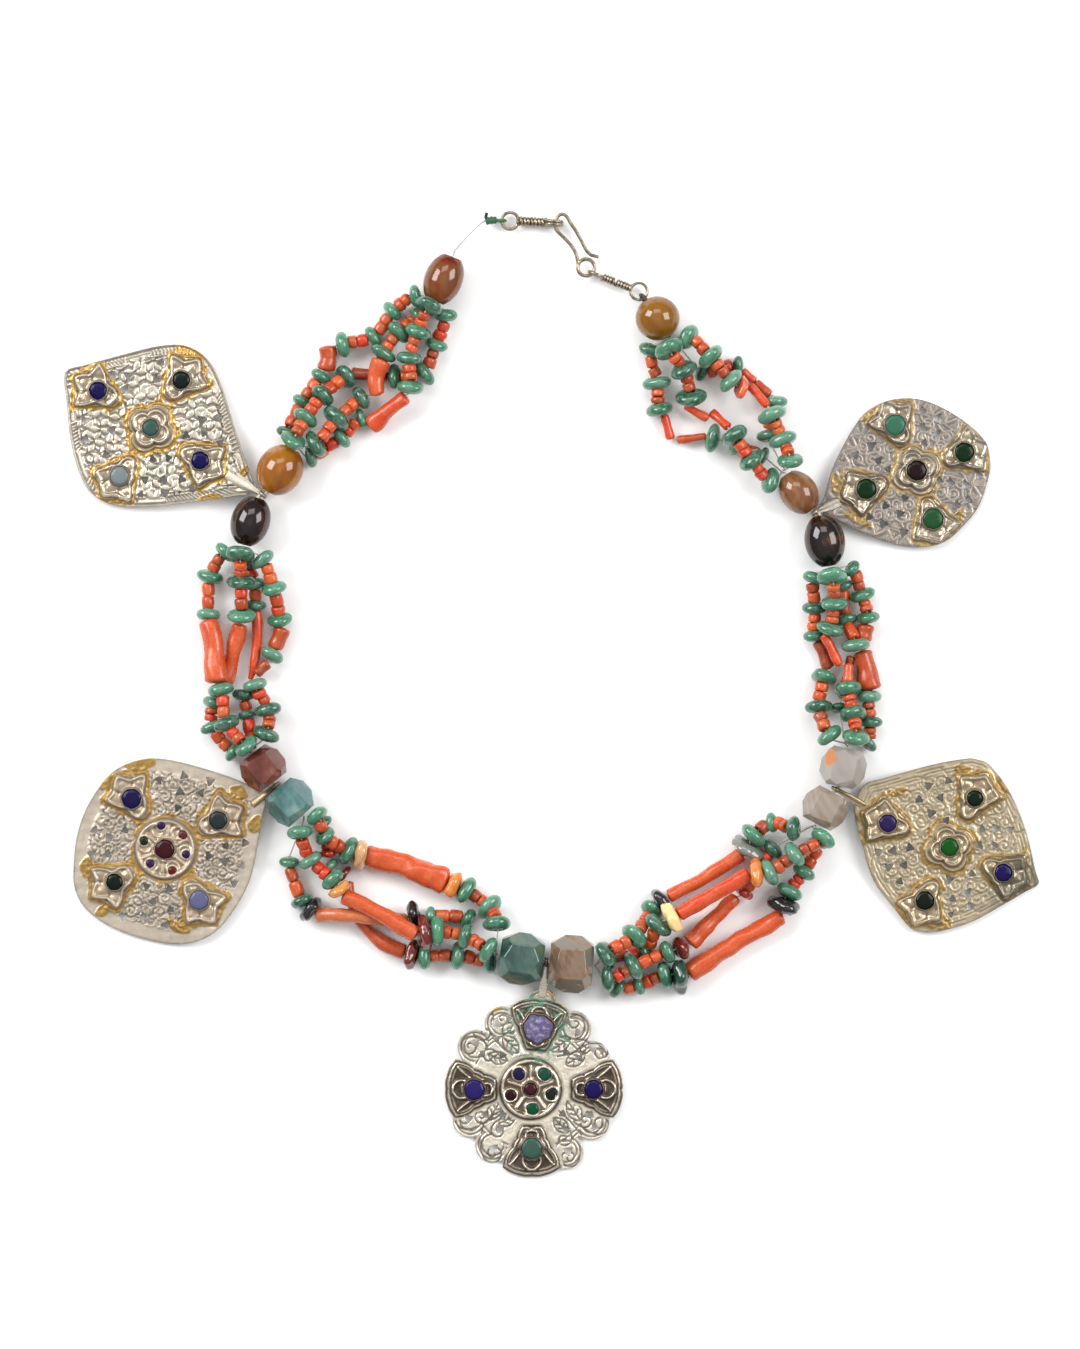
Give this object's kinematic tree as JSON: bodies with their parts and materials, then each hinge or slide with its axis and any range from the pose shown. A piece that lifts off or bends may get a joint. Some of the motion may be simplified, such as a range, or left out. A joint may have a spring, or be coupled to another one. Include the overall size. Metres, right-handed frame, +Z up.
{
  "type": "beaded necklace with pierced silver pendants",
  "caption": "Long folk necklace of green glass, coral and agate beads in four-strand sections, with five pierced, stone-set silver pendants and a wire hook clasp, lying in an open loop.",
  "frame": {"origin": "centre of the bounding box, on the surface that the necklace lies on", "axes": "+Z up from the surface; +Y towards the clasp; +X to the right seen from above with the clasp at the top"},
  "size_m": [0.3124, 0.3094, 0.0172],
  "materials": {
    "agate_1": "polished agate",
    "agate_2": "polished agate",
    "agate_3": "polished agate",
    "agate_4": "polished agate",
    "agate_5": "polished agate",
    "agate_6": "polished agate",
    "agate_7": "polished agate",
    "agate_8": "polished agate",
    "agate_9": "polished agate",
    "agate_10": "polished agate",
    "agate_11": "polished agate",
    "agate_12": "polished agate",
    "green_glass": "glossy, slightly translucent",
    "coral": "polished coral",
    "silver": "worn silver with gilt solder",
    "cut_glass": "polished cabochons",
    "clasp_wire": "dull silver wire",
    "thread": "pale waxed thread",
    "knot_thread": "green thread knot"
  },
  "bodies": {
    "root": {"agate_1": "agate_1", "agate_2": "agate_2", "agate_3": "agate_3", "agate_4": "agate_4", "agate_5": "agate_5", "agate_6": "agate_6", "agate_7": "agate_7", "agate_8": "agate_8", "agate_9": "agate_9", "agate_10": "agate_10", "agate_11": "agate_11", "agate_12": "agate_12", "strand_1_a": "green_glass", "strand_1_b": "green_glass", "strand_1_c": "green_glass", "strand_1_d": "green_glass", "strand_2_a": "green_glass", "strand_2_b": "green_glass", "strand_2_c": "green_glass", "strand_2_d": "green_glass", "strand_3_a": "green_glass", "strand_3_b": "green_glass", "strand_3_c": "green_glass", "strand_3_d": "green_glass", "strand_4_a": "green_glass", "strand_4_b": "green_glass", "strand_4_c": "green_glass", "strand_4_d": "green_glass", "strand_5_a": "green_glass", "strand_5_b": "green_glass", "strand_5_c": "green_glass", "strand_5_d": "green_glass", "strand_6_a": "green_glass", "strand_6_b": "green_glass", "strand_6_c": "green_glass", "strand_6_d": "green_glass", "string_1": "coral", "string_2": "coral", "string_3": "coral", "string_4": "coral", "string_5": "coral", "string_6": "coral", "main_thread": "thread", "pendant_1": "silver", "pendant_2": "silver", "pendant_3": "silver", "pendant_4": "silver", "pendant_5": "silver", "stones_1": "cut_glass", "stones_2": "cut_glass", "stones_3": "cut_glass", "stones_4": "cut_glass", "stones_5": "cut_glass", "eye_link": "clasp_wire", "hook": "clasp_wire", "hook_link": "clasp_wire", "knot": "knot_thread"}
  },
  "joints": []
}
